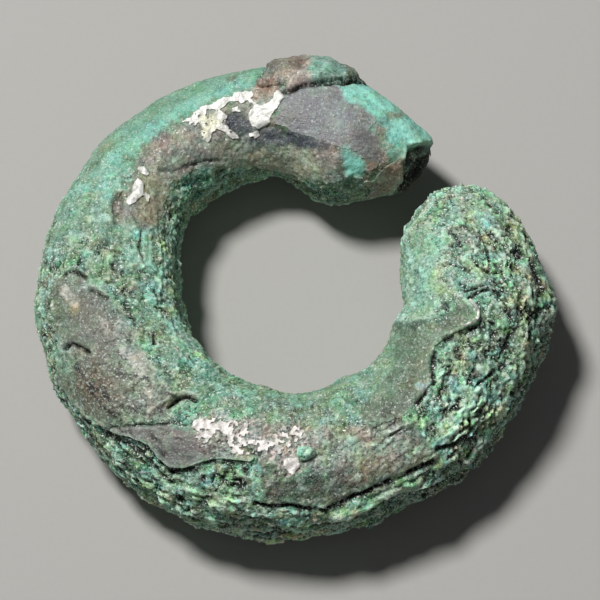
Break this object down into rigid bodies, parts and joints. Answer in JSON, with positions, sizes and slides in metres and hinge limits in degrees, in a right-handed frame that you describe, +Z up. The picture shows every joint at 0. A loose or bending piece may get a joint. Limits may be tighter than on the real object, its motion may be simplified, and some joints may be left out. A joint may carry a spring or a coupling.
{
  "type": "hoop earring",
  "caption": "Thick open hoop earring, a corroded copper-alloy rod with torn remains of silver sheet and green crusts.",
  "frame": {"origin": "under the middle of the earring, on the table it lies on", "axes": "+Z up from the flat-lying hoop, the gap between the ends towards +X and +Y, the longest side along X"},
  "size_m": [0.0284, 0.0278, 0.0082],
  "materials": {
    "core_metal": "rough corroded copper alloy",
    "tarnished_sheet": "thin silver sheet, tarnished brown-grey, satin",
    "dark_plate": "thin silver sheet, dull grey, satin",
    "bright_silver": "bright worn silver",
    "teal_crust": "matt blue-green copper corrosion",
    "pale_crust": "matt pale green copper corrosion",
    "dark_crust": "granular dark green copper corrosion"
  },
  "bodies": {
    "root": {"core_rod": "core_metal", "crust_square_end": "teal_crust", "sheath_ledge": "tarnished_sheet", "crust_upper_shoulder": "teal_crust", "crust_left_side": "pale_crust", "crust_left_rim": "pale_crust", "crust_lower_left": "dark_crust", "crust_lower_side": "dark_crust", "crust_right_side": "dark_crust", "crust_round_end": "dark_crust", "crust_square_end_top": "teal_crust", "sheath_dark_plate": "dark_plate", "sheath_upper_arc": "tarnished_sheet", "sheath_left": "tarnished_sheet", "sheath_tongue": "tarnished_sheet", "sheath_lower_arc": "tarnished_sheet", "sheath_right": "tarnished_sheet", "crust_round_end_inner": "pale_crust", "sheath_square_end_rim": "tarnished_sheet", "crust_inner_upper": "dark_crust", "crust_inner_left": "pale_crust", "crust_inner_lower": "teal_crust", "silver_upper": "bright_silver", "silver_left": "bright_silver", "silver_lower": "bright_silver", "silver_lip": "bright_silver", "crust_nodule": "teal_crust"}
  },
  "joints": []
}
